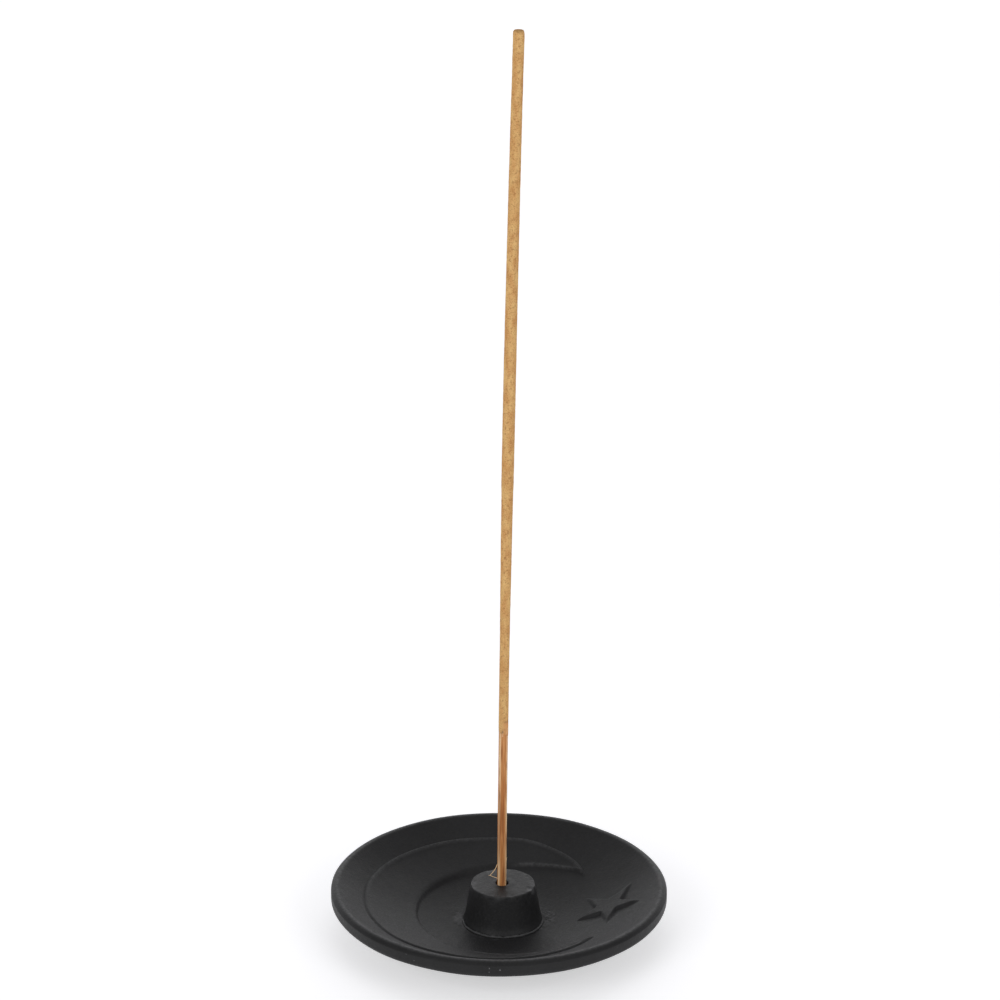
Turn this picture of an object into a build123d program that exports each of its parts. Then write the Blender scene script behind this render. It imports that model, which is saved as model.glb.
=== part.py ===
from build123d import *
from math import cos, radians, sin, tan
import os

# Round clay incense-stick burner with one stick standing in it.
# A shallow saucer with a rolled rim carries a raised crescent moon and a raised five-pointed star on
# its bowl. A short truncated cone, bored for the stick, is luted to the floor with a bead of clay slip.
# The stick is a split-bamboo core dipped in wood-powder paste over its upper three quarters.
# Frame: +Z up, origin at the centre of the saucer's underside. Millimetres.

# Saucer
RIM_RADIUS = 50.8
RIM_ROLL = 1.9
CREST_HEIGHT = 15.8
SIDE_BOTTOM = 11.2
SIDE_EDGE_ROUND = 1.7
FOOT_RADIUS = 28.0
FOOT_ROUND = 0.6
FLOOR_HEIGHT = 4.2
FLOOR_RADIUS = 15.0
BOWL_SLOPE = 34.4  # where the bowl meets the rolled rim, in degrees
BOWL_EASE_IN = 8.2  # length over which the floor begins to curve up
BOWL_EASE_OUT = 10.9

# Raised moon and star
RELIEF_HEIGHT = 1.0
RELIEF_ROOT = 1.0
RELIEF_ROUND = 0.2
MOON_CENTRE = (-3.1, 1.6)
MOON_RADIUS = 37.8
MOON_HOLLOW_CENTRE = (5.4, 1.0)
MOON_HOLLOW_RADIUS = 29.8
MOON_TIP_ROUND = 0.6
STAR_CENTRE = (33.1, 0.4)
STAR_RADIUS = 10.6
STAR_NOTCH_RADIUS = 4.3
STAR_POINTS = 5
STAR_TURN = 53.8  # bearing of the first point from +X, in degrees
STAR_POINT_ROUND = 0.25

# Stick holder and the slip bead round its foot
HOLDER_X = 1.2
HOLDER_FOOT_RADIUS = 12.7
HOLDER_WAIST_RADIUS = 11.05  # where the straight wall turns out into the flared foot
HOLDER_WAIST_HEIGHT = 4.4
HOLDER_TOP_RADIUS = 9.85
HOLDER_HEIGHT = 12.0
HOLDER_EDGE_ROUND = 0.8
SOCKET_X = 0.9
SOCKET_RADIUS = 1.95
SOCKET_DEPTH = 10.0
SOCKET_EDGE_ROUND = 0.3
BEAD_WIDTH = 0.9  # beyond the holder's foot
BEAD_HEIGHT = 0.8

# Stick: slightly bowed, leaning towards +X a little more at its tip than at its foot
STICK_FOOT_X = 0.5
STICK_FOOT_Y = -0.3
STICK_LENGTH = 274.8
LEAN_AT_FOOT = 0.23  # degrees from vertical
LEAN_AT_TIP = 1.23
CORE_SIDE = 2.3
CORE_CORNER = 0.55
CORE_TURN = 20.0
PASTE_OVER_CORE = 1.2
COAT_START = 61.4
COAT_TIP_LENGTH = 0.7  # the worn end beyond the coat's full width
COAT_TIP_TAPER = 32.0
# Share of the coated length, and the paste's radius there: thin below, fullest near the middle.
COAT_RADII = ((0, 1.46), (0.22, 1.52), (0.34, 1.64), (0.5, 1.77), (1, 1.56))


def bowl_curve_points(lift):
    """Control points of the bowl's curve, raised by lift: level at the floor, sloping at the rim."""
    slope = radians(BOWL_SLOPE)
    end_radius = RIM_RADIUS - RIM_ROLL - RIM_ROLL * sin(slope)
    end_height = CREST_HEIGHT - RIM_ROLL + RIM_ROLL * cos(slope) + lift
    floor = FLOOR_HEIGHT + lift
    return (
        (FLOOR_RADIUS, floor),
        (FLOOR_RADIUS + BOWL_EASE_IN, floor),
        (end_radius - BOWL_EASE_OUT, end_height - BOWL_EASE_OUT * tan(slope)),
        (end_radius, end_height),
    )


def star_corners():
    """Corners of the star about its own centre, points and notches in turn."""
    step = 180 / STAR_POINTS
    for i in range(2 * STAR_POINTS):
        reach = STAR_NOTCH_RADIUS if i % 2 else STAR_RADIUS
        bearing = radians(STAR_TURN + i * step)
        yield (reach * cos(bearing), reach * sin(bearing))


# Moon and star: a thin shell that follows the bowl, kept only inside the two outlines
with BuildPart() as relief:
    with BuildSketch(Plane.XZ):
        with BuildLine():
            root = Bezier(*bowl_curve_points(-RELIEF_ROOT))
            crown = Bezier(*bowl_curve_points(RELIEF_HEIGHT))
            Line(root @ 0, crown @ 0)
            Line(root @ 1, crown @ 1)
        make_face()
    revolve(axis=Axis.Z)
    with BuildSketch(Plane.XY) as outlines:
        with Locations(MOON_CENTRE):
            Circle(MOON_RADIUS)
        with Locations(MOON_HOLLOW_CENTRE):
            Circle(MOON_HOLLOW_RADIUS, mode=Mode.SUBTRACT)
        fillet(outlines.vertices().sort_by(Axis.X)[-2:], radius=MOON_TIP_ROUND)
        with Locations(STAR_CENTRE):
            Polygon(*star_corners(), align=None)
        star_vertices = outlines.vertices().sort_by_distance(STAR_CENTRE)[: 2 * STAR_POINTS]
        fillet(star_vertices[-STAR_POINTS:], radius=STAR_POINT_ROUND)
    extrude(amount=2 * CREST_HEIGHT, mode=Mode.INTERSECT)
    for figure in relief.solids():
        top_face = figure.faces().filter_by(GeomType.REVOLUTION).sort_by(Axis.Z)[-1]
        fillet(top_face.edges(), radius=RELIEF_ROUND)

# Saucer, with the moon and star moulded in one with it
with BuildPart() as dish:
    with BuildSketch(Plane.XZ) as section:
        with BuildLine():
            bowl = Bezier(*bowl_curve_points(0))
            roll = TangentArc(bowl @ 1, (RIM_RADIUS, CREST_HEIGHT - RIM_ROLL), tangent=bowl % 1)
            Polyline(
                roll @ 1,
                (RIM_RADIUS, SIDE_BOTTOM),
                (FOOT_RADIUS, 0),
                (0, 0),
                (0, FLOOR_HEIGHT),
                bowl @ 0,
            )
        make_face()
        side_corner = section.vertices().sort_by_distance((RIM_RADIUS, 0, SIDE_BOTTOM))[0]
        fillet(side_corner, radius=SIDE_EDGE_ROUND)
        foot_corner = section.vertices().sort_by_distance((FOOT_RADIUS, 0, 0))[0]
        fillet(foot_corner, radius=FOOT_ROUND)
    revolve(axis=Axis.Z)
    add(relief.part)

# Planes and axis through the holder's own centre
holder_section = Plane((HOLDER_X, 0, FLOOR_HEIGHT), x_dir=(1, 0, 0), z_dir=(0, -1, 0))
holder_axis = Axis((HOLDER_X, 0, 0), (0, 0, 1))

# Stick holder: a truncated cone with a flared foot and a blind socket
with BuildPart() as stick_holder:
    with BuildSketch(holder_section):
        with BuildLine():
            Polyline((HOLDER_FOOT_RADIUS, 0), (0, 0), (0, HOLDER_HEIGHT), (HOLDER_TOP_RADIUS, HOLDER_HEIGHT))
            wall = Line((HOLDER_TOP_RADIUS, HOLDER_HEIGHT), (HOLDER_WAIST_RADIUS, HOLDER_WAIST_HEIGHT))
            TangentArc(wall @ 1, (HOLDER_FOOT_RADIUS, 0), tangent=wall % 1)
        make_face()
    revolve(axis=holder_axis)
    fillet(stick_holder.edges().group_by(Axis.Z)[-1], radius=HOLDER_EDGE_ROUND)
    with BuildSketch(Plane((SOCKET_X, 0, FLOOR_HEIGHT + HOLDER_HEIGHT))):
        Circle(SOCKET_RADIUS)
    extrude(amount=-SOCKET_DEPTH, mode=Mode.SUBTRACT)
    top_circles = stick_holder.edges().filter_by(GeomType.CIRCLE).group_by(Axis.Z)[-1]
    fillet(top_circles.sort_by(SortBy.RADIUS)[0], radius=SOCKET_EDGE_ROUND)

# Slip bead: a quarter-round that laps against the holder's flared foot
with BuildPart() as slip_bead:
    with BuildSketch(holder_section):
        with BuildLine():
            bead_edge = (HOLDER_FOOT_RADIUS + BEAD_WIDTH, 0)
            bead_top = (HOLDER_FOOT_RADIUS - BEAD_WIDTH, BEAD_HEIGHT)
            Polyline(bead_edge, (HOLDER_FOOT_RADIUS - BEAD_WIDTH, 0), bead_top)
            TangentArc(bead_edge, bead_top, tangent=(0, 1))
        make_face()
    revolve(axis=holder_axis)
    add(stick_holder.part, mode=Mode.SUBTRACT)

# The stick's bowed centre line, from its foot on the socket's bottom to its tip
with BuildLine(Plane((0, STICK_FOOT_Y, 0), x_dir=(1, 0, 0), z_dir=(0, -1, 0))) as stick_line:
    bow = LEAN_AT_TIP - LEAN_AT_FOOT
    JernArc(
        start=(STICK_FOOT_X, FLOOR_HEIGHT + HOLDER_HEIGHT - SOCKET_DEPTH),
        tangent=(sin(radians(LEAN_AT_FOOT)), cos(radians(LEAN_AT_FOOT))),
        radius=STICK_LENGTH / radians(bow),
        arc_size=-bow,
    )
spine = stick_line.wire()


def across_stick(length):
    """Plane square to the stick at a length from its foot."""
    share = length / STICK_LENGTH
    return Plane(spine @ share, x_dir=(0, 1, 0), z_dir=spine % share)


# Bamboo core: a square splint with worn corners
with BuildPart() as bamboo_core:
    with BuildSketch(across_stick(0)):
        RectangleRounded(CORE_SIDE, CORE_SIDE, CORE_CORNER, rotation=CORE_TURN)
    with BuildSketch(across_stick(STICK_LENGTH / 2)):
        RectangleRounded(CORE_SIDE, CORE_SIDE, CORE_CORNER, rotation=CORE_TURN)
    with BuildSketch(across_stick(STICK_LENGTH - PASTE_OVER_CORE)):
        RectangleRounded(CORE_SIDE, CORE_SIDE, CORE_CORNER, rotation=CORE_TURN)
    loft()

# Incense paste: straight tapers, fullest near the middle, closed over the core's tip
with BuildPart() as incense_coating:
    coat_end = STICK_LENGTH - COAT_TIP_LENGTH
    for share, radius in COAT_RADII:
        with BuildSketch(across_stick(COAT_START + share * (coat_end - COAT_START))):
            Circle(radius)
    loft(ruled=True)
    with BuildSketch(across_stick(coat_end)):
        Circle(COAT_RADII[-1][1])
    extrude(amount=COAT_TIP_LENGTH, taper=COAT_TIP_TAPER)
    add(bamboo_core.part, mode=Mode.SUBTRACT)

os.makedirs("parts", exist_ok=True)
dish.part.label = "dish"
stick_holder.part.label = "stick_holder"
slip_bead.part.label = "slip_bead"
bamboo_core.part.label = "bamboo_core"
incense_coating.part.label = "incense_coating"
for piece in (dish, stick_holder, slip_bead, bamboo_core, incense_coating):
    export_step(piece.part, f"parts/{piece.part.label}.step")
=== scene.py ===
"""Looks of a round clay incense-stick burner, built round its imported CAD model.

The clay saucer, the stick holder, the slip bead and both layers of the stick are sculpted here as
dense meshes in the places that the CAD gives them. Lengths in the shape functions are millimetres,
in the CAD's frame; every mesh is written in metres. The loose bamboo fibres exist only here.
"""

from math import atan2, cos, degrees, pi, radians, sin, tan

import bpy
import numpy as np
from mathutils import Euler, Matrix, Vector, noise


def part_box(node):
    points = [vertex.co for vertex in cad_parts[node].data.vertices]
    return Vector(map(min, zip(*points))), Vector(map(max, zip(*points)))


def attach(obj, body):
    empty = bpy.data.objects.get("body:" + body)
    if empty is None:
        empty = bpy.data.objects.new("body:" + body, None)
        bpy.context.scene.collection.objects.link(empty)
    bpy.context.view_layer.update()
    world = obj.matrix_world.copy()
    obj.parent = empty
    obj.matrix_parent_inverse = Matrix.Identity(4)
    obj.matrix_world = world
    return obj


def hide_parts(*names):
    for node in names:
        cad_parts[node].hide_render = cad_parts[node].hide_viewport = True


MM = 0.001

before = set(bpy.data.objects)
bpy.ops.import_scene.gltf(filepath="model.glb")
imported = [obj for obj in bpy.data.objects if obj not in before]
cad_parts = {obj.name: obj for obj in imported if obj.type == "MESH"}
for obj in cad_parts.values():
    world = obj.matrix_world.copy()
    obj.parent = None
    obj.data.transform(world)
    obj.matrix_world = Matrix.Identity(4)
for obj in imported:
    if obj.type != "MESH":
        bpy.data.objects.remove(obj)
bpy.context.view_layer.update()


def cad_extent(node):
    """Lowest and highest corner of a CAD node, in millimetres."""
    low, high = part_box(node)
    return np.array(low) / MM, np.array(high) / MM


DISH_HIGH = cad_extent("dish")[1]
HOLDER_LOW, HOLDER_HIGH = cad_extent("stick_holder")
CORE_LOW = cad_extent("bamboo_core")[0]
COAT_LOW, COAT_HIGH = cad_extent("incense_coating")

# Saucer
RIM_RADIUS = DISH_HIGH[0]
CREST_HEIGHT = DISH_HIGH[2]
FLOOR_HEIGHT = HOLDER_LOW[2]
RIM_ROLL = 1.9
RIM_SEAM = 0.10  # the mould's parting line stands out this far from the roll
RIM_SEAM_ANGLE = 22.0
# Pale chips on the rim's side: bearing, height and size
RIM_FLECKS = (
    (-93.0, 13.9, 0.30),
    (-93.1, 12.7, 0.26),
    (-89.4, 13.4, 0.28),
    (-122.3, 14.4, 0.28),
    (-119.2, 12.9, 0.30),
    (-46.5, 13.8, 0.20),
)
SIDE_BOTTOM = 11.2
SIDE_EDGE_ROUND = 1.7
FOOT_RADIUS = 28.0
FOOT_ROUND = 0.6
FLOOR_RADIUS = 15.0
BOWL_SLOPE = 34.4
BOWL_EASE_IN = 8.2
BOWL_EASE_OUT = 10.9
BOWL_END_RADIUS = RIM_RADIUS - RIM_ROLL - RIM_ROLL * sin(radians(BOWL_SLOPE))
DISH_COLUMNS = 576  # points round each ring of the saucer; more would pass the exporter's limit of triangles
BOWL_LIFT_OVER_SHADED_SIDE = 0.1  # a little paler all over the bowl than on the rim's side and underside, which are left darker as painted shade

# Raised moon and star
MOON_CENTRE = (-3.1, 1.6)
MOON_RADIUS = 37.8
MOON_HOLLOW_CENTRE = (5.4, 1.0)
MOON_HOLLOW_RADIUS = 29.8
# The hand-cut outlines stray from their circles: bearing and half-width in degrees, and outward stray
MOON_STRAYS = (
    (102, 20, 0.8),
    (72, 18, 1.9),
    (44, 14, 0.65),
    (28, 15, -2.6),
    (-55, 22, 0.7),
    (-125, 12, 0.9),
    (-132, 26, 1.3),
)
MOON_HOLLOW_STRAYS = ((115, 28, -1.4), (72, 32, -1.3), (-39, 12, 0.5))
MOON_WIDEST = 16.5
MOON_OUTER_STEP = 0.7
MOON_OUTER_ROLL = 1.2
MOON_SOFT_EDGE = 1.0
MOON_INNER_STEP = 1.4
MOON_INNER_ROLL = 1.5
MOON_RIDGE = 0.28
STAR_CENTRE = (33.1, 0.4)
STAR_ARMS = ((52, 12.6), (126, 11.6), (201, 11.0), (266, 11.3), (340, 10.3))  # bearing and reach
STAR_NOTCH_RADIUS = 4.5
STAR_STEP = 0.95
STAR_BEVEL = 0.75
STAR_ARM_SINK = 0.5  # share of the step that is lost towards an arm's point
STAR_ARM_START = 4.0
STAR_ARM_LENGTH = 7.0
SNAP = 0.19  # mesh points this near a relief's outline are moved onto it

# Stick holder, socket and slip bead
HOLDER_COLUMNS = 320
BEAD_COLUMNS = 480
HOLDER_X = (HOLDER_LOW[0] + HOLDER_HIGH[0]) / 2
HOLDER_TOP = HOLDER_HIGH[2]
HOLDER_FOOT_RADIUS = (HOLDER_HIGH[0] - HOLDER_LOW[0]) / 2 - 0.5  # the slip covers the rest
HOLDER_TOP_RADIUS = 9.85
HOLDER_WAIST_RADIUS = 11.05
HOLDER_WAIST_HEIGHT = 4.4
HOLDER_EDGE_ROUND = 0.45
# Worn places round the holder's top edge: bearing, half-width in degrees, and depth
HOLDER_CHIPS = (
    (-22, 7, 0.3),
    (178, 24, 0.2),
    (4, 15, 0.18),
    (-100, 6, 0.07),
    (-74, 5, 0.07),
    (118, 8, 0.1),
)
# Where the slip was wiped out and dabbed on round the foot: bearing and half-width in degrees
SLIP_WIPED = (184, 17)
SLIP_DABBED = (5, 20)
SOCKET_X = 0.9
SOCKET_RADIUS = 1.95
SOCKET_DEPTH = 10.0
SOCKET_EDGE_ROUND = 0.3

# Stick
CORE_COLUMNS = 120
COAT_COLUMNS = 112
HAIR_COLUMNS = 10
STICK_FOOT = np.array([0.78, -0.3, CORE_LOW[2]])
STICK_LENGTH = COAT_HIGH[2] - CORE_LOW[2] - 0.05  # the tip's tilt takes up the rest
LEAN_AT_FOOT = radians(0.10)
LEAN_AT_TIP = radians(1.27)
CORE_HALF = 1.36
CORE_SQUARENESS = 4.0
CORE_TURN = radians(8)
PASTE_OVER_CORE = 1.2
COAT_START = COAT_LOW[2] - CORE_LOW[2]
COAT_LENGTH = STICK_LENGTH - COAT_START
# Share of the coated length, and the paste's radius there. The fourth and fifth pair make the step
# where the second dip ended.
COAT_SHARES = (0, 0.12, 0.2, 0.352, 0.362, 0.5, 0.94, 1)
COAT_RADII = (1.38, 1.41, 1.50, 1.66, 1.75, 1.77, 1.57, 1.60)
# Nicks near the paste's lower edge, painted dark as painted shade: bearing and half-width in degrees,
# height over COAT_START and half-height, and strength
COAT_NICKS = ((-25, 18, 2.9, 0.5, 1), (-62, 26, 2.6, 0.25, 0.6), (-99, 11, -0.8, 0.6, 0.9))
COAT_NICK_DEPTH = 0.02
# A thin-looking patch below the nicks and a chip at the tip: bearing and half-width in degrees
COAT_PATCH = (-52, 48)
COAT_PATCH_TOP = 2.8  # over COAT_START
TIP_CHIP = (-12, 24)


# ---------------------------------------------------------------- shape tools


def lumps(points, size, seed):
    """Smooth noise between about -1 and 1 at points, an array of (..., 3), with lumps of that size."""
    shift = Vector((seed * 17.31, seed * 5.17, seed * 9.73))
    flat = points.reshape(-1, 3) / size
    values = [noise.noise(Vector(p) + shift) for p in flat]
    return np.array(values).reshape(points.shape[:-1])


def spokes(around):
    """Level unit vectors that point out at each bearing, in radians."""
    return np.stack([np.cos(around), np.sin(around), 0 * around], -1)


def smooth_step(x):
    """Eases from 0 at x = 0 to 1 at x = 1."""
    t = np.clip(x, 0, 1)
    return t * t * (3 - 2 * t)


def bell(x):
    """1 at x = 0, falling away smoothly on both sides."""
    return np.exp(-(x**2))


def angle_gap(angles, bearing):
    """How far each angle is from a bearing, all in degrees."""
    return abs((angles - bearing + 180) % 360 - 180)


def quarter_round(x):
    """Rises from 0 at x = 0 like a quarter circle: steep at first, level at x = 1."""
    t = np.clip(x, 0, 1)
    return np.sqrt(1 - (1 - t) ** 2)


def arc(centre, radius, start, end, count):
    """Points of an arc in a section, as (radius, height) pairs; angles in degrees."""
    angles = np.radians(np.linspace(start, end, count))
    return [(centre[0] + radius * cos(a), centre[1] + radius * sin(a)) for a in angles]


def line(start, end, count):
    """Points between start and end, leaving both out."""
    steps = np.linspace(0, 1, count + 2)[1:-1]
    return [(start[0] + s * (end[0] - start[0]), start[1] + s * (end[1] - start[1])) for s in steps]


def turn(section, centre_x, columns):
    """Revolves a section of (radius, height) pairs. centre_x is one value or one per pair."""
    section = np.array(section)
    angles = np.linspace(0, 2 * pi, columns, endpoint=False)
    centres = np.broadcast_to(centre_x, len(section))[:, None]
    x = centres + section[:, :1] * np.cos(angles)
    y = section[:, :1] * np.sin(angles)
    z = np.broadcast_to(section[:, 1:], x.shape)
    return np.stack([x, y, z], -1)


def normals_of(rows):
    """Unit normals of a grid of rows that close round, pointing out of a body turned from its top down."""
    around = np.roll(rows, -1, 1) - np.roll(rows, 1, 1)
    along = np.gradient(rows, axis=0)
    n = np.cross(along, around)
    return n / np.maximum(np.linalg.norm(n, axis=-1, keepdims=True), 1e-9)


def skin(name, rows, capped=True, looped=False, layers=None):
    """A mesh object over a grid of rows (row, column, xyz) that close round. Capped rows end in a fan
    at each end's centre; looped rows join the last row to the first. layers are per-point values,
    stored as attributes for the materials."""
    count, columns = rows.shape[:2]
    points = rows.reshape(-1, 3)
    values = {key: v.reshape(-1) for key, v in (layers or {}).items()}
    row = np.arange(count if looped else count - 1)[:, None]
    column = np.arange(columns)[None, :]
    after = (column + 1) % columns
    below = (row + 1) % count
    here, under = row * columns, below * columns
    corners = (here + column, under + column, under + after, here + after)
    faces = np.stack(corners, -1).reshape(-1, 4).tolist()
    if capped:
        tips = np.stack([rows[0].mean(0), rows[-1].mean(0)])
        points = np.concatenate([points, tips])
        for key, v in values.items():
            values[key] = np.concatenate([v, [v[:columns].mean(), v[-columns:].mean()]])
        first, last = len(points) - 2, len(points) - 1
        end = (count - 1) * columns
        faces += [(first, c, (c + 1) % columns) for c in range(columns)]
        faces += [(last, end + (c + 1) % columns, end + c) for c in range(columns)]
    mesh = bpy.data.meshes.new(name)
    mesh.from_pydata((points * MM).tolist(), [], faces)
    for key, v in values.items():
        mesh.attributes.new(key, "FLOAT", "POINT").data.foreach_set("value", v.astype(np.float32))
    mesh.polygons.foreach_set("use_smooth", [True] * len(mesh.polygons))
    mesh.update()
    piece = bpy.data.objects.new(name, mesh)
    bpy.context.scene.collection.objects.link(piece)
    return piece


# ---------------------------------------------------------------- clay saucer


def bowl_height(radii):
    """Height of the plain bowl: the CAD's curve, level at the floor and sloping at the rim."""
    slope = radians(BOWL_SLOPE)
    end_height = CREST_HEIGHT - RIM_ROLL + RIM_ROLL * cos(slope)
    r = (FLOOR_RADIUS, FLOOR_RADIUS + BOWL_EASE_IN, BOWL_END_RADIUS - BOWL_EASE_OUT, BOWL_END_RADIUS)
    z = (FLOOR_HEIGHT, FLOOR_HEIGHT, end_height - BOWL_EASE_OUT * tan(slope), end_height)
    t = np.linspace(0, 1, 400)
    weights = ((1 - t) ** 3, 3 * t * (1 - t) ** 2, 3 * t**2 * (1 - t), t**3)
    curve_r = sum(w * v for w, v in zip(weights, r))
    curve_z = sum(w * v for w, v in zip(weights, z))
    return np.interp(radii, curve_r, curve_z)


def strayed_radius(x, y, centre, radius, strays):
    """Radius of a hand-cut outline on the bearing of each point from the outline's centre."""
    bearing = np.degrees(np.arctan2(y - centre[1], x - centre[0]))
    for at, half_width, out in strays:
        radius = radius + out * bell(angle_gap(bearing, at) / half_width)
    return radius


def moon_outlines(x, y):
    """Centre of the moon's outer and inner outline, and the outline's radius on each point's bearing."""
    outer = strayed_radius(x, y, MOON_CENTRE, MOON_RADIUS, MOON_STRAYS)
    inner = strayed_radius(x, y, MOON_HOLLOW_CENTRE, MOON_HOLLOW_RADIUS, MOON_HOLLOW_STRAYS)
    return (MOON_CENTRE, outer), (MOON_HOLLOW_CENTRE, inner)


def moon_edges(x, y):
    """Distances in from the moon's outer and inner outline; both positive inside the moon."""
    (outer_centre, outer), (inner_centre, inner) = moon_outlines(x, y)
    from_outer = outer - np.hypot(x - outer_centre[0], y - outer_centre[1])
    from_inner = np.hypot(x - inner_centre[0], y - inner_centre[1]) - inner
    return from_outer, from_inner


def moon_behind(y):
    """0 along the moon's front, where its outer edge is a crisp step, and 1 behind, where it is soft."""
    return smooth_step((y + 6) / 16)


def moon_slimness(fullness):
    """0 in the moon's full middle and 1 towards its tips, where its hollow's edge has a thin lip."""
    return smooth_step((0.72 - fullness) / 0.1)


def moon_relief(x, y):
    """Raised moon: a low step at its outer edge, rising to a tall rolled shoulder at its hollow."""
    outer, inner = moon_edges(x, y)
    width = np.maximum(outer + inner, 0.01)
    fullness = np.clip(width / MOON_WIDEST, 0, 1)
    across = np.clip(outer / width, 0, 1)
    low = MOON_OUTER_STEP * smooth_step(fullness / 0.12)
    high = np.maximum(MOON_INNER_STEP * fullness**1.1, 0.8 * low)
    lift = low + (high - low) * smooth_step(across)
    lift += MOON_RIDGE * bell((inner - 0.6) / 0.4) * moon_slimness(fullness)
    # The outer edge is a crisp step in front and a soft ridge behind
    behind = moon_behind(y)
    edge_front = quarter_round(outer / MOON_OUTER_ROLL)
    edge_behind = smooth_step((outer / MOON_SOFT_EDGE + 0.5) / 1.5) * np.clip(outer / 0.4, 0, 1)
    soft_ridge = bell((outer - MOON_SOFT_EDGE) / 0.9) * smooth_step(fullness / 0.2)
    lift += behind * MOON_RIDGE * soft_ridge
    inner_roll = 0.45 + MOON_INNER_ROLL * smooth_step((fullness - 0.35) / 0.5)
    rolls = (edge_front + behind * (edge_behind - edge_front)) * quarter_round(inner / inner_roll)
    return np.where((outer > 0) & (inner > 0), lift * rolls, 0)


def star_outline():
    """Corners of the star, points and notches in turn."""
    corners = []
    for (bearing, reach), (following, _) in zip(STAR_ARMS, STAR_ARMS[1:] + STAR_ARMS[:1]):
        halfway = bearing + ((following - bearing) % 360) / 2
        for angle, out in ((bearing, reach), (halfway, STAR_NOTCH_RADIUS)):
            corners.append((out * cos(radians(angle)), out * sin(radians(angle))))
    return np.array(corners) + STAR_CENTRE


def star_nearest(x, y):
    """Signed distance in from the star's outline, and the nearest outline point, for each point."""
    corners = star_outline()
    p = np.stack([x, y], -1)
    best = np.full(x.shape, 1e9)
    nearest = p.copy()
    inside = np.zeros(x.shape, bool)
    for a, b in zip(corners, np.roll(corners, -1, 0)):
        side = b - a
        share = np.clip(((p - a) @ side) / (side @ side), 0, 1)
        foot = a + share[..., None] * side
        gap = np.linalg.norm(p - foot, axis=-1)
        nearest = np.where((gap < best)[..., None], foot, nearest)
        best = np.minimum(best, gap)
        crosses = (a[1] > y) != (b[1] > y)
        inside ^= crosses & (x < side[0] * (y - a[1]) / (side[1] if side[1] else 1e-9) + a[0])
    return np.where(inside, best, -best), nearest


def star_relief(x, y):
    """Raised star with bevelled sides, whose arms sink towards their points."""
    depth, _ = star_nearest(x, y)
    share = np.clip(depth / STAR_BEVEL, 0, 1)
    out = np.hypot(x - STAR_CENTRE[0], y - STAR_CENTRE[1])
    sunk = STAR_ARM_SINK * smooth_step((out - STAR_ARM_START) / STAR_ARM_LENGTH)
    return STAR_STEP * (1 - sunk) * share


def relief_wear_and_highlight(x, y):
    """Where the relief is painted pale, as rubbed clay and as a painted highlight: the moon's soft ridge
    behind and its lip on the right.
    """
    outer, inner = moon_edges(x, y)
    fullness = np.clip((outer + inner) / MOON_WIDEST, 0, 1)
    ridge = moon_behind(y) * bell((outer - MOON_SOFT_EDGE) / 0.8)
    lip = moon_slimness(fullness) * bell((inner - 0.5) / 0.3)
    lip = lip * smooth_step((fullness - 0.1) / 0.25)
    return np.where((outer > 0) & (inner > 0), np.maximum(0.6 * ridge, lip), 0)


def snap_to_outlines(x, y):
    """Moves points that lie close to the moon's or star's outline onto it, so that its edge is clean."""
    for centre, radius in moon_outlines(x, y):
        outer, inner = moon_edges(x, y)
        reach = np.hypot(x - centre[0], y - centre[1])
        close = (abs(reach - radius) < SNAP) & (outer > -SNAP) & (inner > -SNAP)
        pull = np.where(close, radius / reach, 1)
        x = centre[0] + (x - centre[0]) * pull
        y = centre[1] + (y - centre[1]) * pull
    depth, nearest = star_nearest(x, y)
    close = abs(depth) < SNAP
    return np.where(close, nearest[..., 0], x), np.where(close, nearest[..., 1], y)


def round_holder(x, y, bearing, half_width):
    """1 on a bearing from the holder's centre, falling away on both sides. Angles in degrees."""
    return bell(angle_gap(np.degrees(np.arctan2(y, x - HOLDER_X)), bearing) / half_width)


def round_stick(around, bearing, half_width):
    """The same for points round the stick, whose own bearings are in radians."""
    return bell(angle_gap(np.degrees(around)[None, :], bearing) / half_width)


def slip_smear(x, y):
    """Thin uneven smear of slip on the floor round the holder: wiped out on the left, dabbed on the
    right. Gives its thickness and how pale it has dried."""
    out = np.hypot(x - HOLDER_X, y) - HOLDER_FOOT_RADIUS
    bearing = np.arctan2(y, x - HOLDER_X)
    wiped = round_holder(x, y, *SLIP_WIPED)
    dabbed = round_holder(x, y, *SLIP_DABBED)
    spot = np.stack([x, y, 0 * x], -1)
    reach = 1.0 + 0.5 * np.sin(3 * bearing + 1) + 2.2 * wiped + 2.2 * dabbed
    reach += 0.9 * lumps(spot, 1.7, 4)
    thick = 0.10 + 0.07 * lumps(spot, 1.3, 3) + 0.12 * wiped
    thick += 0.22 * dabbed * lumps(spot, 0.45, 5)
    cover = (1 - smooth_step((out - reach) / 0.5)) * (out > -2)
    pale = 0.8 * wiped + 0.9 * dabbed * np.clip(4 * lumps(spot, 0.5, 6), 0, 1)
    dried_edge = 0.6 * bell((out - reach) / 0.35)
    dried_edge *= np.clip(0.5 + 2 * lumps(spot, 1.5, 7), 0, 1)
    return thick * cover, np.maximum(pale * cover, dried_edge)


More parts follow.
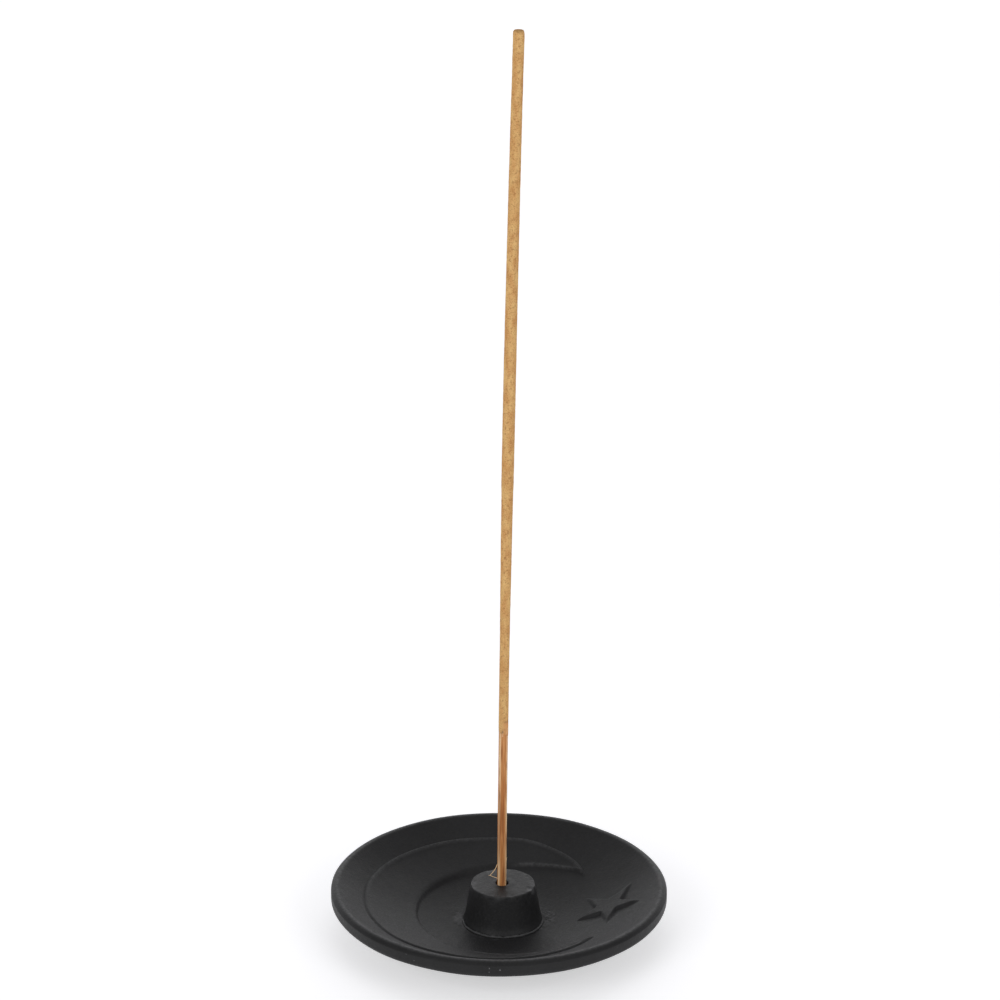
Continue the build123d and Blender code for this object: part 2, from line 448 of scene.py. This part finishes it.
def dish_section():
    """The saucer's section from the edge of its bowl over the rim and under to the foot's centre."""
    rim = (RIM_RADIUS - RIM_ROLL, CREST_HEIGHT - RIM_ROLL)
    under = atan2(SIDE_BOTTOM, RIM_RADIUS - FOOT_RADIUS)
    half_corner = (pi / 2 + under) / 2
    edge = (RIM_RADIUS - SIDE_EDGE_ROUND, SIDE_BOTTOM + SIDE_EDGE_ROUND / tan(half_corner))
    foot_half = (pi - under) / 2
    foot = (FOOT_RADIUS - FOOT_ROUND / tan(foot_half), FOOT_ROUND)
    roll = []
    for angle in np.linspace(90 + BOWL_SLOPE, 0, 28):
        reach = RIM_ROLL + RIM_SEAM * bell((angle - RIM_SEAM_ANGLE) / 9)
        roll.append((rim[0] + reach * cos(radians(angle)), rim[1] + reach * sin(radians(angle))))
    turn_under = arc(edge, SIDE_EDGE_ROUND, 0, degrees(under) - 90, 8)
    foot_round = arc(foot, FOOT_ROUND, degrees(under) - 90, -90, 3)
    side = line(roll[-1], turn_under[0], 3)
    underside = line(turn_under[-1], foot_round[0], 14)
    base = [(r, 0) for r in (24, 16, 8, 1)]
    return roll + side + turn_under + underside + foot_round + base


def dish_mesh():
    """The saucer, its rings of points few under the holder and closest over the moon and star."""
    hidden = np.linspace(1, 12, 6)
    floor = np.linspace(12.4, 21, 22)
    relief = np.linspace(21.3, 44.2, 74)
    upper = np.linspace(44.6, BOWL_END_RADIUS - 0.3, 8)
    radii = np.concatenate([hidden, floor, relief, upper])
    top = turn(np.stack([radii, bowl_height(radii)], -1), 0, DISH_COLUMNS)
    x, y = snap_to_outlines(top[..., 0], top[..., 1])
    smear, dried = slip_smear(x, y)
    lift = moon_relief(x, y) + star_relief(x, y) + smear
    top = np.stack([x, y, bowl_height(np.hypot(x, y)) + lift], -1)
    edge = turn(dish_section(), 0, DISH_COLUMNS)
    rows = np.concatenate([top, edge])
    # The rim's crest is painted pale along its top, a painted highlight on rubbed clay, and the whole bowl
    # is painted a little paler than the rim's side and underside, which leaves those as painted shade
    crest_highlight = bell((np.hypot(edge[..., 0], edge[..., 1]) - RIM_RADIUS + RIM_ROLL) / 0.7)
    crest_highlight *= smooth_step((edge[..., 2] - CREST_HEIGHT + 0.8) / 0.5)
    bowl_wear_and_highlight = np.maximum(relief_wear_and_highlight(x, y), dried)
    wear_and_highlight = np.concatenate([np.maximum(bowl_wear_and_highlight, BOWL_LIFT_OVER_SHADED_SIDE), crest_highlight])
    # Hand-moulded unevenness, always inwards so that the saucer keeps its size
    waves = 0.08 * (1 + lumps(rows, 16, 1)) + 0.012 * (1 + lumps(rows, 3.2, 2))
    waves *= smooth_step(rows[..., 2] / 2)
    rows = rows - normals_of(rows) * waves[..., None]
    return skin("clay_dish", rows, layers={"wear_and_highlight": wear_and_highlight})


# ---------------------------------------------------------------- stick holder and slip bead


def holder_section():
    """Section pairs from the socket's bottom up its wall, over the top and down to the foot's centre,
    with the centre of each ring: the socket was bored a little off the holder's own centre."""
    bottom = HOLDER_TOP - SOCKET_DEPTH
    waist = FLOOR_HEIGHT + HOLDER_WAIST_HEIGHT
    wall_lean = atan2(HOLDER_WAIST_RADIUS - HOLDER_TOP_RADIUS, HOLDER_TOP - waist)
    bore = line((SOCKET_RADIUS, bottom), (SOCKET_RADIUS, HOLDER_TOP - 1), 9)
    mouth_centre = (SOCKET_RADIUS + SOCKET_EDGE_ROUND, HOLDER_TOP - SOCKET_EDGE_ROUND)
    mouth = arc(mouth_centre, SOCKET_EDGE_ROUND, 180, 90, 6)
    edge_centre = (HOLDER_TOP_RADIUS - HOLDER_EDGE_ROUND, HOLDER_TOP - HOLDER_EDGE_ROUND)
    edge = arc(edge_centre, HOLDER_EDGE_ROUND, 90, degrees(wall_lean), 9)
    face = line(mouth[-1], edge[0], 26)
    wall = line(edge[-1], (HOLDER_WAIST_RADIUS, waist), 26)
    start_slope = tan(wall_lean) * HOLDER_WAIST_HEIGHT
    flare_out = HOLDER_FOOT_RADIUS - HOLDER_WAIST_RADIUS - start_slope
    flare = []
    for share in np.linspace(0, 1, 16):
        out = HOLDER_WAIST_RADIUS + start_slope * share + flare_out * share**3
        flare.append((out, waist - HOLDER_WAIST_HEIGHT * share))
    socket = [(0.4, bottom), (1.2, bottom)] + bore + mouth
    outside = edge + wall + flare + [(r, FLOOR_HEIGHT) for r in (9, 5, 1)]
    shares = [np.zeros(len(socket)), np.linspace(0, 1, len(face)), np.ones(len(outside))]
    centres = SOCKET_X + (HOLDER_X - SOCKET_X) * np.concatenate(shares)
    return socket + face + outside, centres


def holder_mesh():
    section, centres = holder_section()
    rows = turn(section, centres, HOLDER_COLUMNS)
    out = np.hypot(rows[..., 0] - HOLDER_X, rows[..., 1])
    above = smooth_step((rows[..., 2] - FLOOR_HEIGHT) / 2)
    bored = smooth_step((out - SOCKET_RADIUS - 0.6) / 1.5)
    near_edge = smooth_step((out - HOLDER_TOP_RADIUS + 2.6) / 2)
    near_edge *= smooth_step((rows[..., 2] - HOLDER_TOP + 2.2) / 2)
    waves = 0.05 * (1 + lumps(rows, 6, 11)) + 0.012 * (1 + lumps(rows, 1.6, 12))
    # Finger streaks run slantwise down the wall
    slant = rows * (1, 1, 0.35) + rows[..., 2:] * (0.25, 0.1, 0)
    waves += 0.012 * (1 + lumps(slant, 1.1, 13))
    worn = 0.09 * np.clip(lumps(rows, 1.3, 14) + 0.2, 0, 1)
    for bearing, half_width, depth in HOLDER_CHIPS:
        worn += depth * round_holder(rows[..., 0], rows[..., 1], bearing, half_width)
    carved = (waves + worn * near_edge) * above * bored
    rows = rows - normals_of(rows) * carved[..., None]
    return skin("clay_holder", rows, layers={"wear_and_highlight": np.clip(worn * near_edge / 0.3, 0, 1)})


def bead_mesh():
    """Squeezed-out slip: an uneven ridge round the holder's foot, undercut where it meets the floor."""
    around = np.linspace(0, 2 * pi, BEAD_COLUMNS, endpoint=False)
    ring = spokes(around) * HOLDER_FOOT_RADIUS
    front = np.maximum(-np.sin(around), 0)
    wide = 0.34 * (1 + 0.35 * lumps(ring, 2.6, 21) + 0.3 * lumps(ring, 0.9, 22) + 0.6 * front)
    tall = 0.2 + 0.24 * smooth_step(front / 0.5)
    tall *= 1 + 0.30 * lumps(ring, 3.1, 23) + 0.45 * lumps(ring, 0.8, 24)
    centre = HOLDER_FOOT_RADIUS - 0.12 + 0.77 * smooth_step(front / 0.8) + 0.14 * lumps(ring, 4, 25)
    section = np.linspace(0, 2 * pi, 18, endpoint=False)[:, None]
    out = centre + wide * np.cos(section)
    height = FLOOR_HEIGHT + 0.12 + tall * np.sin(section)
    x, y = HOLDER_X + out * np.cos(around), out * np.sin(around)
    rows = np.stack([x, y, height], -1)
    rows += 0.05 * lumps(rows, 0.7, 26)[..., None] * spokes(around)
    rows = rows[::-1]
    # The bead's top is painted paler, most in front: a painted highlight
    crown_highlight = np.clip((rows[..., 2] - FLOOR_HEIGHT - 0.25) / 0.2, 0, 1) * (0.25 + 0.9 * front)
    return skin("clay_slip_bead", rows, capped=False, looped=True, layers={"wear_and_highlight": crown_highlight})


# ---------------------------------------------------------------- stick


def stick_axis(length):
    """Centre of the bowed stick at each length from its foot, and its lean there."""
    length = np.asarray(length, float)
    bow = LEAN_AT_TIP - LEAN_AT_FOOT
    lean = LEAN_AT_FOOT + bow * length / STICK_LENGTH
    radius = STICK_LENGTH / bow
    x = radius * (np.cos(LEAN_AT_FOOT) - np.cos(lean))
    z = radius * (np.sin(lean) - np.sin(LEAN_AT_FOOT))
    centre = STICK_FOOT + np.stack([x, 0 * x, z], -1)
    return centre, lean


def along_stick(lengths, around, reach):
    """Grid of points on the stick. Each row has one length or one for each bearing in around, and a
    reach from the stick's axis for each bearing."""
    centre, lean = stick_axis(lengths)
    side = np.stack([np.cos(lean), 0 * lean, -np.sin(lean)], -1)
    back = np.array([0, 1, 0])
    offset = np.cos(around)[None, :, None] * side + np.sin(around)[None, :, None] * back
    return centre + reach[..., None] * offset


def core_reach(around):
    """Distance from the splint's axis to its worn square outline."""
    c, s = abs(np.cos(around - CORE_TURN)), abs(np.sin(around - CORE_TURN))
    return CORE_HALF * (c**CORE_SQUARENESS + s**CORE_SQUARENESS) ** (-1 / CORE_SQUARENESS)


def core_mesh():
    lengths = np.concatenate([
        [0, 0.06, 0.2],
        np.arange(0.6, COAT_START + 8, 0.6),
        np.linspace(COAT_START + 10, STICK_LENGTH - PASTE_OVER_CORE, 16),
    ])[:, None]
    around = np.linspace(0, 2 * pi, CORE_COLUMNS, endpoint=False)
    full = np.ones((len(lengths), 1))
    outline = core_reach(around)[None, :] * full
    # The foot's sawn end is worn round
    outline[0] *= 0.86
    outline[1] *= 0.95
    # Fibres: fine grooves that hold their place for centimetres along the splint
    grain = 1.2 * spokes(around) + lengths[..., None] / 30 * (0, 0, 1)
    fibre = lumps(grain, 0.17, 31)
    coarse = lumps(grain, 0.5, 32)
    outline = outline - 0.022 * (1 + fibre) - 0.025 * (1 + coarse)
    # Under the paste the splint is a little slimmer
    outline *= 1 - 0.08 * smooth_step((lengths - COAT_START - 4) / 20)
    rows = along_stick(lengths, around, outline)
    corner = abs(np.cos(2 * (around - CORE_TURN - pi / 4)))
    edge = smooth_step((corner - 0.86) / 0.12)[None, :] * full
    layers = {"edge": edge[::-1], "groove": (0.5 - 0.5 * fibre)[::-1], "stain": (0.5 + 0.5 * coarse)[::-1]}
    return skin("bamboo_splint", rows[::-1], layers=layers)


def coat_start(around):
    """How far along the stick the paste begins at each bearing: a ragged, slanting edge."""
    ring = spokes(around)
    slant = 0.7 * np.cos(around - radians(160))
    return COAT_START - 1.0 + slant + 1.2 * lumps(ring, 0.55, 41) + 1.0 * lumps(ring, 0.22, 42)


def coat_mesh():
    around = np.linspace(0, 2 * pi, COAT_COLUMNS, endpoint=False)
    steps = np.concatenate([np.linspace(0, 0.012, 9)[:-1], np.linspace(0.012, 1, 500)])[:, None]
    starts = coat_start(around)[None, :]
    lengths = starts + steps * (STICK_LENGTH - starts)
    share = (lengths - COAT_START) / COAT_LENGTH
    full = np.interp(share, COAT_SHARES, COAT_RADII)
    film = core_reach(around)[None, :] + 0.01
    outline = film + (full - film) * smooth_step(share / 0.26)
    surface = along_stick(lengths, around, outline)
    grain = lumps(surface, 0.32, 51)
    clots = lumps(surface, 0.8, 52)
    swell = lumps(surface * (1, 1, 0.35), 2.6, 53)
    rough = 0.045 + 0.030 * grain + 0.034 * clots + 0.03 * swell
    outline = outline + rough * (0.4 + 0.6 * smooth_step(share / 0.15))
    # A patch at the front right of the lower edge looks thin, below a line of nicks
    above_edge = lengths - COAT_START
    thin = round_stick(around, *COAT_PATCH) * smooth_step((COAT_PATCH_TOP - above_edge) / 0.35)
    nicks = 0 * outline
    # The nicks' mask also paints them dark brown: painted shade
    for bearing, half_width, above, half_height, strength in COAT_NICKS:
        shaded_nick = round_stick(around, bearing, half_width) * bell((above_edge - above) / half_height)
        nicks = np.maximum(nicks, strength * shaded_nick)
    outline = outline - COAT_NICK_DEPTH * nicks
    # Worn tip, with a chip knocked out on its right
    to_tip = STICK_LENGTH - lengths
    outline = outline - 0.22 * (1 - quarter_round(to_tip / 0.5))
    chip = round_stick(around, *TIP_CHIP) * bell(to_tip / 0.8)
    rows = along_stick(lengths, around, outline - 0.3 * chip)
    return skin("incense_paste", rows[::-1], layers={"thin": thin[::-1], "shaded_nick": nicks[::-1]})


def hair(name, path, thick, fine):
    """A thin round fibre through the points of path, tapering from thick to fine."""
    path = np.array(path, float)
    t = np.linspace(0, len(path) - 1, 14 * (len(path) - 1) + 1)
    knots = np.arange(len(path))
    smooth = np.stack([np.interp(t, knots, path[:, i]) for i in range(3)], -1)
    for _ in range(6):
        smooth[1:-1] = (smooth[:-2] + 2 * smooth[1:-1] + smooth[2:]) / 4
    ahead = np.gradient(smooth, axis=0)
    ahead /= np.linalg.norm(ahead, axis=1, keepdims=True)
    side = np.cross(ahead, (0.2, 1, 0.1))
    side /= np.linalg.norm(side, axis=1, keepdims=True)
    other = np.cross(ahead, side)
    around = np.linspace(0, 2 * pi, HAIR_COLUMNS, endpoint=False)
    radius = np.linspace(thick, fine, len(smooth))[:, None, None]
    c, s = np.cos(around)[None, :, None], np.sin(around)[None, :, None]
    rows = smooth[:, None] + radius * (c * side[:, None] + s * other[:, None])
    plain = np.ones(rows.shape[:2])
    # An edge value above 1 keeps nearly the whole fibre pale
    return skin(name, rows, layers={"edge": 2.5 * plain, "groove": 0.5 * plain, "stain": 0.5 * plain})


def loose_fibres():
    """Splinters that the splitting knife left: one long hair above the socket and a few short ends."""

    def on_side(length, bearing, out):
        around = np.radians([bearing])
        return along_stick(np.array([[length]]), around, core_reach(around)[None, :] + out)[0, 0]

    long_hair = [
        on_side(16.8, 196, -0.1),
        on_side(15.0, 197, 0.7),
        on_side(13.5, 198, 2.0),
        on_side(13.2, 200, 2.3),
        on_side(12.8, 204, 1.6),
        on_side(12.4, 215, 0.5),
        on_side(12.1, 225, -0.1),
    ]
    fibres = [hair("bamboo_hair", long_hair, 0.11, 0.08)]
    fork = [on_side(13.25, 199, 2.1), on_side(13.2, 198, 2.75)]
    fibres.append(hair("bamboo_hair_fork", fork, 0.09, 0.05))
    short_ends = (
        (COAT_START - 0.6, 205, 3.2),
        (COAT_START - 2.2, 262, 2.2),
        (17.6, -38, 1.6),
        (COAT_START - 1.5, -50, 2.4),
    )
    for i, (length, bearing, long) in enumerate(short_ends):
        middle = on_side(length + long / 2, bearing + 2, 0.1)
        path = [on_side(length, bearing, -0.08), middle, on_side(length + long, bearing + 3, 0.22)]
        fibres.append(hair(f"bamboo_splinter_{i + 1}", path, 0.10, 0.03))
    return fibres


# ---------------------------------------------------------------- materials

WORN_AND_HIGHLIT_CLAY = 0.07  # how pale the clay is where it is rubbed, and where a highlight is painted on it
FLECK_CLAY = 0.16  # and where it is chipped


def feed(tree, target, value):
    """Links a node's output to an input, or sets the input to a plain value."""
    if isinstance(value, bpy.types.NodeSocket):
        tree.links.new(value, target)
    else:
        target.default_value = value


def put(tree, kind, inputs=None, output=0, **settings):
    """Adds a shader node and gives back one of its outputs. Inputs are values or other nodes' outputs."""
    node = tree.nodes.new("ShaderNode" + kind)
    for key, value in settings.items():
        setattr(node, key, value)
    for key, value in (inputs or {}).items():
        feed(tree, node.inputs[key], value)
    return node.outputs[output]


def own_place(tree):
    """Where each shaded point is on its own piece, in metres."""
    return tree.nodes.new("ShaderNodeTexCoord").outputs["Object"]


def blotches(tree, size, detail=3, stretch=(1, 1, 1)):
    """Noise from 0 to 1 with blotches of that size in millimetres, drawn out by stretch along each axis."""
    scale = tuple(1 / (MM * size * s) for s in stretch)
    where = put(tree, "VectorMath", {0: own_place(tree), 1: scale}, operation="MULTIPLY")
    return put(tree, "TexNoise", {"Vector": where, "Scale": 1, "Detail": detail})


def spread(tree, value, low, high, to_low=0.0, to_high=1.0):
    """Stretches low..high of a value to to_low..to_high and holds it there."""
    return put(tree, "MapRange", {"Value": value, 1: low, 2: high, 3: to_low, 4: to_high})


def times(tree, a, b):
    return put(tree, "Math", {0: a, 1: b}, operation="MULTIPLY")


def layer(tree, name):
    """A mesh's per-point values."""
    return put(tree, "Attribute", output=2, attribute_name=name)


def mix(tree, share, a, b):
    """Colour a where share is 0, colour b where it is 1."""
    return put(tree, "Mix", {0: share, 6: a, 7: b}, output=2, data_type="RGBA")


def bumps(tree, height, depth, under=None):
    """Raises the surface's shading by depth millimetres where height is 1, on top of the bumps under."""
    inputs = {"Height": height, "Distance": depth * MM, "Strength": 1}
    if under is not None:
        inputs["Normal"] = under
    return put(tree, "Bump", inputs)


def srgb(red, green, blue):
    """A colour given as 0-255 screen values, as linear light."""
    channels = [v / 255 for v in (red, green, blue)]
    return tuple(v / 12.92 if v < 0.04045 else ((v + 0.055) / 1.055) ** 2.4 for v in channels) + (1,)


def grey(value):
    """A faintly cool grey."""
    return (value, value, value * 1.03, 1)


def new_material(name):
    material = bpy.data.materials.new(name)
    material.use_nodes = True
    return material, material.node_tree, material.node_tree.nodes["Principled BSDF"]


def finish_shader(tree, shader, colour, rough, shine, normal):
    feed(tree, shader.inputs["Base Color"], colour)
    feed(tree, shader.inputs["Roughness"], rough)
    feed(tree, shader.inputs["Specular IOR Level"], shine)
    feed(tree, shader.inputs["Normal"], normal)


def clay(name, shade, pale_tone, rough, grain, shine=0.3, flecks=()):
    """Unglazed black clay with painted shade in the hollows of its fine grain, which is paler on its raised
    tops, and paler still where it is worn and where a highlight is painted.
    flecks are chips that show the pale body: bearing in degrees, height and size in millimetres."""
    material, tree, shader = new_material(name)
    cloud = spread(tree, blotches(tree, 9, 4), 0.3, 0.7)
    fine = blotches(tree, 0.55, 4)
    colour = mix(tree, cloud, grey(shade), grey((shade + pale_tone) / 2))
    # The fine grain's hollows are painted darker and its raised tops paler: painted shade in the hollows
    colour = mix(tree, spread(tree, fine, 0.50, 0.78), colour, grey(pale_tone))
    # Paler where the mesh marks rubbed clay and painted highlights: the saucer's crest, the moon's ridge
    # and lip, the slip bead's top
    rubbed_and_highlit = times(tree, layer(tree, "wear_and_highlight"), spread(tree, blotches(tree, 0.9, 4), 0.38, 0.62, 0.5, 1))
    colour = mix(tree, rubbed_and_highlit, colour, grey(WORN_AND_HIGHLIT_CLAY))
    for bearing, height, size in flecks:
        side = (RIM_RADIUS * cos(radians(bearing)), RIM_RADIUS * sin(radians(bearing)), height)
        at = tuple(MM * v for v in side)
        away = put(tree, "VectorMath", {0: own_place(tree), 1: at}, output=1, operation="DISTANCE")
        away = times(tree, away, spread(tree, blotches(tree, 0.5, 2), 0.35, 0.65, 0.7, 1.8))
        colour = mix(tree, spread(tree, away, size * MM, 0.4 * size * MM), colour, grey(FLECK_CLAY))
    normal = bumps(tree, blotches(tree, 3.2, 4), 0.10)
    normal = bumps(tree, fine, grain, normal)
    uneven_rough = spread(tree, fine, 0.3, 0.7, rough - 0.07, rough + 0.07)
    finish_shader(tree, shader, colour, uneven_rough, shine, normal)
    return material


def bamboo(name):
    """Split bamboo: orange-brown faces with pale corners, dark lines and fine streaks along the grain."""
    material, tree, shader = new_material(name)
    streaks = blotches(tree, 0.16, 3, (1, 1, 60))
    broad = blotches(tree, 0.9, 2, (1, 1, 14))
    colour = mix(tree, spread(tree, broad, 0.35, 0.65), srgb(184, 118, 66), srgb(208, 148, 94))
    colour = mix(tree, spread(tree, streaks, 0.55, 0.75, 0, 0.6), colour, srgb(220, 172, 120))
    pale = times(tree, layer(tree, "edge"), spread(tree, broad, 0.2, 0.55))
    colour = mix(tree, pale, colour, srgb(238, 204, 160))
    colour = mix(tree, spread(tree, layer(tree, "stain"), 0.55, 0.75, 0, 0.6), colour, srgb(140, 76, 36))
    colour = mix(tree, spread(tree, layer(tree, "groove"), 0.60, 0.80, 0, 0.6), colour, srgb(110, 60, 32))
    finish_shader(tree, shader, colour, 0.65, 0.15, bumps(tree, streaks, 0.05))
    return material


def paste(name):
    """Dried wood-powder paste: tan, with darker and paler grains, redder where thin, with painted shade in
    its nicks.
    """
    material, tree, shader = new_material(name)
    grains = blotches(tree, 0.34, 2)
    chips = blotches(tree, 0.8, 2)
    clouds = blotches(tree, 1.8, 3, (1, 1, 2.5))
    colour = mix(tree, spread(tree, clouds, 0.35, 0.65), srgb(198, 148, 92), srgb(218, 178, 118))
    colour = mix(tree, spread(tree, grains, 0.54, 0.68, 0, 0.8), colour, srgb(168, 122, 76))
    colour = mix(tree, spread(tree, grains, 0.44, 0.30, 0, 0.7), colour, srgb(220, 176, 124))
    colour = mix(tree, spread(tree, chips, 0.58, 0.70, 0, 0.55), colour, srgb(150, 100, 58))
    colour = mix(tree, times(tree, layer(tree, "thin"), 0.5), colour, srgb(206, 140, 96))
    colour = mix(tree, layer(tree, "shaded_nick"), colour, srgb(96, 56, 34))
    normal = bumps(tree, grains, 0.12)
    normal = bumps(tree, blotches(tree, 0.12, 2), 0.03, normal)
    finish_shader(tree, shader, colour, 0.95, 0.05, normal)
    return material


# ---------------------------------------------------------------- assembly


def dress(piece, material, body, slot_name, *stands_for):
    """Gives a piece its material, and fixes it to a CAD body in place of CAD nodes. slot_name is not used.
    """
    piece.data.materials.append(material)
    if stands_for:
        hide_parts(*stands_for)
    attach(piece, body)


dish_look = clay("clay_dish", 0.009, 0.017, 0.54, 0.08, shine=0.255, flecks=RIM_FLECKS)
holder_look = clay("clay_holder", 0.013, 0.027, 0.52, 0.06)
slip_look = clay("clay_slip", 0.012, 0.026, 0.52, 0.08)
bamboo_look = bamboo("bamboo")
paste_look = paste("incense_paste")
dress(dish_mesh(), dish_look, "burner", "clay_dish", "dish")
dress(holder_mesh(), holder_look, "burner", "clay_holder", "stick_holder")
dress(bead_mesh(), slip_look, "burner", "clay_slip", "slip_bead")
dress(core_mesh(), bamboo_look, "stick", "bamboo", "bamboo_core")
dress(coat_mesh(), paste_look, "stick", "incense_paste", "incense_coating")
for fibre in loose_fibres():
    dress(fibre, bamboo_look, "stick", "bamboo")


# ---------------------------------------------------------------- studio

FLOOR_SIDE = 12.0
HORIZON_LIGHT = 1.2
SKY_LIGHT = 0.29
FLOOR_GLOW = 0.49
EYE_DISTANCE = 1.2575  # from the middle of the saucer's floor
EYE_ELEVATION = radians(27.274)
EYE_PITCH = radians(21.493)
EYE_YAW = radians(0.021)
EYE_ROLL = radians(0.351)
EYE_LENS = 148.71


def plain_floor():
    half = FLOOR_SIDE / 2
    corners = [(-half, -half, 0), (half, -half, 0), (half, half, 0), (-half, half, 0)]
    mesh = bpy.data.meshes.new("studio_floor")
    mesh.from_pydata(corners, [], [(0, 1, 2, 3)])
    floor = bpy.data.objects.new("studio_floor", mesh)
    material, _, shader = new_material("studio_floor")
    shader.inputs["Base Color"].default_value = grey(0.86)
    shader.inputs["Roughness"].default_value = 0.9
    shader.inputs["Emission Color"].default_value = (1, 1, 1, 1)
    shader.inputs["Emission Strength"].default_value = FLOOR_GLOW
    mesh.materials.append(material)
    bpy.context.scene.collection.objects.link(floor)
    return floor


def soft_light(name, place, size, watts):
    """An area light of (width, height) at place, aimed at the burner."""
    light = bpy.data.lights.new(name, "AREA")
    light.shape = "RECTANGLE"
    light.size, light.size_y = size
    light.energy = watts
    lamp = bpy.data.objects.new(name, light)
    lamp.location = place
    aim = Vector((0, 0, 0.05)) - Vector(place)
    lamp.rotation_euler = aim.to_track_quat("-Z", "Y").to_euler()
    bpy.context.scene.collection.objects.link(lamp)
    return lamp


def studio_world():
    """A pale room: a bright sweep low down behind the burner, dimmer overhead and in front."""
    world = bpy.data.worlds.new("studio_world")
    world.use_nodes = True
    tree = world.node_tree
    ray = tree.nodes.new("ShaderNodeTexCoord").outputs["Generated"]
    height = put(tree, "SeparateXYZ", {0: ray}, output=2)
    depth = put(tree, "SeparateXYZ", {0: ray}, output=1)
    glow = times(tree, spread(tree, height, 0.45, 0.12), spread(tree, depth, -0.3, 0.8))
    colour = mix(tree, glow, grey(SKY_LIGHT), grey(HORIZON_LIGHT))
    tree.links.new(colour, tree.nodes["Background"].inputs["Color"])
    bpy.context.scene.world = world


def studio_camera():
    camera = bpy.data.objects.new("studio_camera", bpy.data.cameras.new("studio_camera"))
    camera.data.lens = EYE_LENS
    camera.data.sensor_width = 36
    out, up = EYE_DISTANCE * cos(EYE_ELEVATION), EYE_DISTANCE * sin(EYE_ELEVATION)
    camera.location = (0, -out, FLOOR_HEIGHT * MM + up)
    tilt = Euler((pi / 2 - EYE_PITCH, 0, 0)).to_matrix()
    roll = Matrix.Rotation(EYE_ROLL, 3, "Z")
    yaw = Matrix.Rotation(EYE_YAW, 3, "Z")
    camera.rotation_euler = (yaw @ tilt @ roll).to_euler()
    bpy.context.scene.collection.objects.link(camera)
    bpy.context.scene.camera = camera


plain_floor()
soft_light("light_above", (0.0, 0.2, 1.4), (0.9, 0.9), 1.5)
soft_light("light_behind", (0.0, 1.7, 0.75), (3.0, 0.9), 7.5)
soft_light("light_left", (-0.85, -1.25, 0.8), (0.9, 0.9), 7.8)
soft_light("light_right", (0.9, -1.15, 0.8), (0.9, 0.9), 4.8)
studio_world()
studio_camera()
bpy.context.scene.view_settings.view_transform = "Standard"
